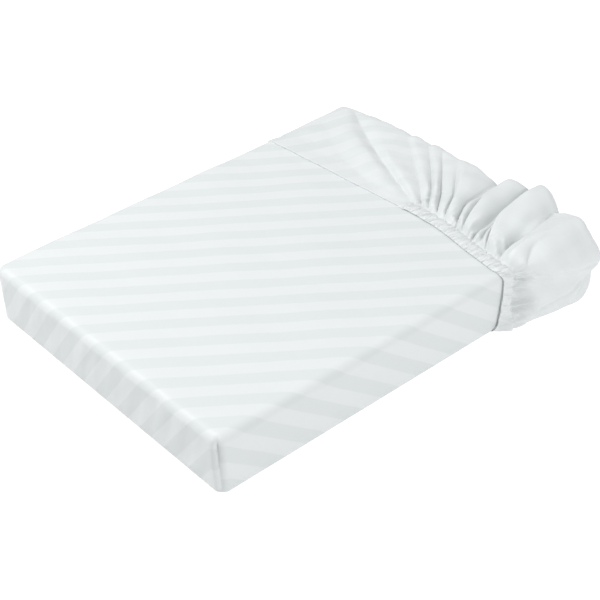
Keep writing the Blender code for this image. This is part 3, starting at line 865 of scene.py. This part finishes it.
def gathers(girth, reach):
    """Small uneven gathers at the elastic.

    The ruches run on into the cloth, and waves round the mouth start and die away at their own distances.
    """
    inside = smooth_step((girth - GATHERS_START_GIRTH) / GATHERS_FADE)
    inside = inside * smooth_step((GATHERS_END_GIRTH - girth) / GATHERS_FADE)
    run_on = smooth_step((reach - RUN_ON_START) / RUN_ON_RISE)
    run_on = run_on * smooth_step((RUN_ON_END - reach) / (RUN_ON_END - RUN_ON_START))
    run_on = run_on * (0.7 + 0.4 * waves(girth, 45, 4, 9 * MM, 26 * MM))
    total = RUN_ON_HEIGHT * run_on * ruches(girth, reach)
    for k, row in enumerate(GATHERS):
        start, end, period = row["start"] * MM, row["end"] * MM, row["period"] * MM
        strength = smooth_step((reach - start) / (4 * MM)) * smooth_step((end - reach) / (end - start))
        bent = girth + 0.8 * period * waves(girth, 30 + k, 4, 4 * period, 9 * period)
        size = 0.65 + 0.35 * waves(girth, 40 + k, 3, 6 * period, 14 * period)
        total = total + row["height"] * MM * strength * size * np.sin(2 * pi * bent / period)
    return total * inside


def standoff(girth, reach):
    """How far the hem stands off the packet; it fades with the distance from the mouth.

    It is uneven round the girth, and more so where the hem is gathered.
    The foot of the gathered hem spreads as well: it rises to the elastic's inner edge and then fades.
    """
    off = np.interp(girth, STANDOFF_GIRTHS, STANDOFF_HEIGHTS) * (1 - smooth_step(reach / STANDOFF_FADE))
    gathered = smooth_step((GATHERS_END_GIRTH - girth) / (10 * MM))
    off = off * np.maximum(0.85 + (0.05 + 0.3 * gathered) * waves(girth, 61, 5, 5 * MM, 15 * MM), 0.1)
    spread = smooth_step((reach + 1 * MM) / ELASTIC_WIDTH)
    spread = spread * (1 - smooth_step((reach - ELASTIC_WIDTH) / STANDOFF_FADE))
    return off + FLARE * spread * np.interp(girth, np.array(FLARE_GIRTHS) * MM, FLARE_SHARES)


def pocket_surface(gather_strength):
    """Outside of the pocket: rows from the mouth to the end, columns round the girth.

    A point is the plain wrapped section at its girth, carried along X by the run, turned round the
    end's rounding, and pushed out by the height of its fold, with the creases, gathers, standoff and
    soft waves added. A fold's crest leans towards the far side. On the end the section shrinks to its
    middle line. The loop settles the reach and the girth, which depend on each other.
    """
    run = np.linspace(0, 1, RUN_ROWS) ** RUN_POWER
    run = np.concatenate([run, np.ones(ROUNDING_ROWS + END_ROWS)])[:, None]
    turn = np.concatenate([np.zeros(RUN_ROWS), np.linspace(0, pi / 2, ROUNDING_ROWS + 1)[1:],
                           np.full(END_ROWS, pi / 2)])[:, None]
    shrink = np.linspace(0, 1, END_ROWS + 1)[1:]
    shrink = np.concatenate([np.zeros(RUN_ROWS + ROUNDING_ROWS), shrink])[:, None]
    index, share, plain = pocket_columns()
    following = np.minimum(index + 1, len(FOLDS) - 1)
    share = np.broadcast_to(share, (len(run), len(share)))
    is_fold = np.isnan(plain)

    reach = np.zeros(share.shape)
    for _ in range(4):
        valleys = by_reach("girth", reach) * MM
        low, high = pick(valleys, index), pick(valleys, following)
        crest = (pick(by_reach("crest", reach), index) * MM - low) / np.maximum(high - low, 0.1 * MM)
        crest = np.clip(crest, 0.05, 0.95)
        front = share < FRONT_COLUMNS
        way = np.where(front, share / FRONT_COLUMNS * crest,
                       crest + (share - FRONT_COLUMNS) / (1 - FRONT_COLUMNS) * (1 - crest))
        girth = np.where(is_fold, low + way * (high - low), plain)
        section, out = cross_section(girth)
        start = mouth_x(section)
        reach = (POCKET_END - POCKET_TOP_RADIUS - start) * run

    lifts = by_reach("lift", reach) * MM
    crowns = pick(by_reach("crown", reach), index) * MM
    rounds = np.array([fold["round"] for fold in FOLDS])[index]
    shape = fold_shape(way, crest, *rounds.T)
    lean = np.array([fold["lean"] for fold in FOLDS])[index] * crowns * shape
    lift = pick(lifts, index) + (pick(lifts, following) - pick(lifts, index)) * way
    near_foot = smooth_step((girth - FULL_TURN + FOOT_FADE) / FOOT_FADE)
    height = np.where(is_fold, lift + crowns * shape, near_foot * pick(lifts, 0 * index))
    signed = signed_girth(girth)
    rise_girths = np.array(RISE_GIRTHS) * MM
    onset, rise = (np.interp(signed, rise_girths, np.array(row) * MM) for row in (ONSETS, RISES))
    height = height * smooth_step((reach - onset) / rise)

    girth = girth + np.where(is_fold, lean, 0.0) * smooth_step(reach / (15 * MM))
    section, out = cross_section(girth)
    low_down = (girth > UNDER_START) | (girth < NEAR_SIDE_FOOT)
    out = np.where(low_down[..., None], np.array([-1.0, 0.0]), out)
    x_plain = start + reach
    height = height - creases(x_plain, signed) * smooth_step((reach - ELASTIC_WIDTH) / (2 * MM) + 1)
    height = np.maximum(height, -0.2 * MM)
    height = height + gather_strength * gathers(signed, reach) + standoff(signed, reach)
    loose = LOOSE_HEIGHT * np.interp(signed, np.array(LOOSE_GIRTHS) * MM, LOOSE_SHARES)
    loose = loose * waves_2d(x_plain, signed, 21, 12, *LOOSE_LENGTHS)
    height = height + loose * smooth_step((reach - LOOSE_START) / LOOSE_RISE)

    ends = np.array([fold["end"] for fold in FOLDS]) * MM
    plain_end = ends[index, 0] + (ends[following, 0] - ends[index, 0]) * way
    at_crest = ends[index, 0] + (ends[following, 0] - ends[index, 0]) * crest
    end = plain_end + (ends[index, 1] - at_crest) * shape
    end = np.where(is_fold, end, near_foot * ends[0, 0])
    x_plain = x_plain + end * run ** 3

    half_height = POCKET_TOP / 2
    medial = POCKET_HALF_DEPTH - half_height
    middle = np.stack([np.clip(section[..., 0], -medial, medial), 0 * girth + half_height], -1)
    inset = POCKET_TOP_RADIUS * (1 - np.cos(turn)) + shrink * (half_height - POCKET_TOP_RADIUS)
    flat = section + (middle - section) * (inset / half_height)[..., None]
    fading = np.cos(turn) ** 0.8 * (1 - shrink)
    pushed = flat + out * (height * fading)[..., None]
    raised = smooth_step(pushed[..., 1] / half_height)
    x = x_plain + (POCKET_TOP_RADIUS + height * END_STANDOFF * raised) * np.sin(turn)
    end_plane = POCKET_END + END_BULGE * (0.5 - pushed[..., 0] / DEPTH)
    x = x + (end_plane - x) * smooth_step(shrink)
    points = np.stack([x, pushed[..., 0], np.maximum(pushed[..., 1], 0.0)], -1)
    return points, girth, index


def pocket_cloth(points, girth, index, faces):
    """Cloth place of each face corner; the panels left and right of the seam have their own stripes."""
    rows, columns = girth.shape
    flat_y = signed_girth(girth) - TOP_MIDDLE_GIRTH
    place = np.stack([points[..., 0], flat_y], -1).reshape(-1, 2)[faces]
    left = np.tile(index >= SEAM_FOLD, rows - 1)[:, None, None]
    return np.where(left, stripe_place(place, LEFT_STRIPES), stripe_place(place, RIGHT_STRIPES))


def stripe_share(girth):
    """How strongly the stripes' painted sheen shows: fully at the far edge, less towards the seam, weakly on
    the puffs.
    """
    return np.interp(girth, np.array(SHARE_GIRTHS) * MM, SHARES)


# -----
# Elastic edge
# -----

def elastic_surface():
    """The ruched edge: a flat rounded tube carried round the mouth, crossed by uneven ruches.

    The ruches lift its outside and make its two edges wavy. It lies on the hem's standoff. Its edges dip
    on the top, its inner edge follows the gathers, and its upper end sinks into the cloth. Returns the
    points and their girths and distances from the mouth, a row for each ring round the tube.
    """
    girth = np.linspace(ELASTIC_START_GIRTH, ELASTIC_END_GIRTH, ELASTIC_COLUMNS)[None, :]
    around = np.linspace(0.0, 2 * pi, ELASTIC_ROWS, endpoint=False)[:, None]
    wide = np.sign(np.cos(around)) * np.abs(np.cos(around)) ** 0.55
    high = np.sign(np.sin(around)) * np.abs(np.sin(around)) ** 0.8
    ruche = ruches(girth, 0.5 * ELASTIC_WIDTH * (1 + wide) - ELASTIC_OVERHANG)
    on_top = smooth_step((girth - NEAR_SIDE_TOP) / (8 * MM))
    size = (0.8 + 0.15 * waves(girth + 4 * MM * wide, 52, 4, 5 * MM, 12 * MM)) * (0.5 + 0.5 * on_top)
    from_ends = np.minimum(girth - ELASTIC_START_GIRTH, ELASTIC_END_GIRTH - girth)
    ends = np.clip(from_ends / ELASTIC_END_ROUNDING, 0.05, 1.0) ** 0.5
    across = 0.5 * ELASTIC_WIDTH * wide * (1 + 0.03 * ruche * size)
    outside = np.clip(high, 0.0, 1.0)
    over = 0.5 * ELASTIC_THICK * high * ends + RUCHE_HEIGHT * ruche * size * outside * ends
    section, out = cross_section(girth + 0 * around)
    start = mouth_x(section)
    reach = 0.5 * ELASTIC_WIDTH - ELASTIC_OVERHANG + across
    drop = ELASTIC_EDGE_DROP * on_top * smooth_step((np.abs(wide) - 0.3) / 0.7)
    sunk = 0.5 * ELASTIC_THICK + ELASTIC_END_DEPTH
    sunk = sunk * (1 - smooth_step((ELASTIC_END_GIRTH - girth) / ELASTIC_END_FADE))
    base = standoff(girth, np.maximum(reach, 0.0)) + 0.5 * ELASTIC_THICK + ELASTIC_GAP - drop - sunk
    base = base + gathers(girth, reach) * smooth_step((wide - 0.2) / 0.8)
    yz = section + out * (base + over)[..., None]
    points = np.stack([start + reach, yz[..., 0], np.maximum(yz[..., 1], 0.02 * MM)], -1)
    return points.transpose(1, 0, 2), np.broadcast_to(girth, points.shape[:2]).T, reach.T


# -----
# Operators
# -----

def settle(piece, node):
    """Hang a piece on the frame, in the place of a node of the part, and hide that node's mesh."""
    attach(piece, "root")
    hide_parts(node)


class BuildPacket(bpy.types.Operator):
    """Build the folded packet: its striped outer ply and the layers inside it"""

    bl_idname = "fitted_sheet.packet"
    bl_label = "Packet"

    def execute(self, context):
        looks = context.scene.sheet_looks
        points, faces, cloth = packet_surface(looks.ripple)
        finish = satin("striped_satin", tuple(looks.light), tuple(looks.dark))
        packet = new_piece("packet_cloth", points, faces, cloth, finish)
        thicken(packet, PLY)
        rows = layers_surface()
        faces = quads(*rows.shape[:2])
        layers = new_piece("packet_layers", rows.reshape(-1, 3), faces, None, finish)
        close_ends(layers, rows.shape[1])
        join(packet, layers)
        settle(packet, "sheet")
        return {"FINISHED"}


class BuildPocket(bpy.types.Operator):
    """Build the gathered corner pocket that is turned over the packet's far end"""

    bl_idname = "fitted_sheet.pocket"
    bl_label = "Corner pocket"

    def execute(self, context):
        looks = context.scene.sheet_looks
        surface, girth, index = pocket_surface(looks.gathers)
        faces = quads(*girth.shape)
        cloth = pocket_cloth(surface, girth, index, faces)
        finish = satin("gathered_satin", tuple(looks.light), tuple(looks.dark), fading=True)
        pocket = new_piece("corner_pocket", surface.reshape(-1, 3), faces, cloth, finish)
        # stripe_share: how strongly the stripes' painted sheen shows at each point.
        strength = pocket.data.attributes.new("stripe_share", "FLOAT", "POINT")
        strength.data.foreach_set("value", stripe_share(girth).reshape(-1).astype(np.float32))
        thicken(pocket, PLY)
        settle(pocket, "sheet")
        return {"FINISHED"}


class BuildElastic(bpy.types.Operator):
    bl_idname = "fitted_sheet.elastic"
    bl_label = "Elastic edge"

    def execute(self, context):
        surface, girth, reach = elastic_surface()
        faces = quads(*girth.shape)
        cloth = np.stack([girth, reach], -1).reshape(-1, 2)[faces]
        finish = ruched("ruched_elastic", tuple(context.scene.sheet_looks.elastic))
        band = new_piece("elastic_band", surface.reshape(-1, 3), faces, cloth, finish)
        close_ends(band, ELASTIC_ROWS)
        settle(band, "elastic_edge")
        missing = [name for name in ("packet_cloth", "corner_pocket") if name not in bpy.data.objects]
        if missing:
            raise RuntimeError("The elastic edge comes after these pieces: " + ", ".join(missing))
        return {"FINISHED"}


FLOOR_REACH = 6.0
FLOOR_DROP = 0.2 * MM
WHITE = (1.0, 1.0, 1.0, 1.0)
LAMP_SIZE = 0.9
# The square lamps, all turned to the origin; power names the property that holds it.
LAMPS = named_rows(
    "name power place",
    ("overhead", "top_light", (-0.53, 0.64, 1.38)),
    ("front", "front_light", (0.15, -1.2, 0.6)),
    ("left", "left_light", (-1.2, 0.3, 0.45)),
)


class BuildStage(bpy.types.Operator):
    """Lay the floor, set the lights and place the camera"""

    bl_idname = "fitted_sheet.stage"
    bl_label = "Stage"

    def execute(self, context):
        looks = context.scene.stage_looks
        floor_finish = Finish("floor")
        floor_finish.finish(Base_Color=(*looks.floor, 1.0), Roughness=0.9, Specular_IOR_Level=0.1,
                            Emission_Color=WHITE, Emission_Strength=looks.glow)
        corners = np.array([(-1, -1, 0), (1, -1, 0), (1, 1, 0), (-1, 1, 0)]) * FLOOR_REACH
        corners = corners - np.array([0, 0, FLOOR_DROP])
        floor = new_piece("floor", corners, np.array([(0, 1, 2, 3)]), None, floor_finish.material)

        world = bpy.data.worlds.new("studio")
        world.use_nodes = True
        sky = world.node_tree.nodes["Background"]
        sky.inputs["Color"].default_value = WHITE
        sky.inputs["Strength"].default_value = looks.sky
        context.scene.world = world

        for row in LAMPS:
            self.lamp(row["name"], getattr(looks, row["power"]), row["place"])

        settings = context.scene.view_settings
        settings.view_transform = "Standard"
        settings.look = "None"
        settings.exposure = 0.0
        settings.gamma = 1.0
        self.camera()
        return {"FINISHED"}

    def lamp(self, name, power, place):
        data = bpy.data.lights.new(name, "AREA")
        data.energy = power
        data.shape = "SQUARE"
        data.size = LAMP_SIZE
        lamp = new_object(name, data)
        lamp.location = place
        lamp.rotation_euler = (-Vector(place)).to_track_quat("-Z", "Y").to_euler()

    def camera(self):
        data = bpy.data.cameras.new("photo_camera")
        data.sensor_width = 36.0
        data.lens = CAMERA_LENS
        data.clip_start = 0.01
        camera = new_object("photo_camera", data)
        a, e = CAMERA_AZIMUTH, CAMERA_ELEVATION
        back = Vector((sin(a) * cos(e), -cos(a) * cos(e), sin(e)))
        right = Vector((0, 0, 1)).cross(back).normalized()
        up = back.cross(right)
        rolled = Matrix((right * cos(CAMERA_ROLL) + up * sin(CAMERA_ROLL),
                         up * cos(CAMERA_ROLL) - right * sin(CAMERA_ROLL), back)).transposed()
        camera.matrix_world = Matrix.Translation(CAMERA_PLACE) @ rolled.to_4x4()
        bpy.context.scene.camera = camera


class FittedSheetPanel(bpy.types.Panel):
    """Sizes, colours and steps of the folded fitted sheet"""

    bl_idname = "VIEW3D_PT_fitted_sheet"
    bl_label = "Fitted sheet"
    bl_space_type = "VIEW_3D"
    bl_region_type = "UI"
    bl_category = "Fitted sheet"

    def draw(self, context):
        for group in (context.scene.sheet_looks, context.scene.stage_looks):
            for name in group.bl_rna.properties.keys():
                if name not in ("rna_type", "name"):
                    self.layout.prop(group, name)
        for operator in (BuildPacket, BuildPocket, BuildElastic, BuildStage):
            self.layout.operator(operator.bl_idname)


CLASSES = (SheetLooks, StageLooks, BuildPacket, BuildPocket, BuildElastic, BuildStage, FittedSheetPanel)


def register():
    for cls in CLASSES:
        bpy.utils.register_class(cls)
    bpy.types.Scene.sheet_looks = bpy.props.PointerProperty(type=SheetLooks)
    bpy.types.Scene.stage_looks = bpy.props.PointerProperty(type=StageLooks)


def unregister():
    del bpy.types.Scene.stage_looks
    del bpy.types.Scene.sheet_looks
    for cls in reversed(CLASSES):
        bpy.utils.unregister_class(cls)


def main():
    register()
    bpy.ops.fitted_sheet.packet()
    bpy.ops.fitted_sheet.pocket()
    bpy.ops.fitted_sheet.elastic()
    bpy.ops.fitted_sheet.stage()


if __name__ == "__main__":
    main()
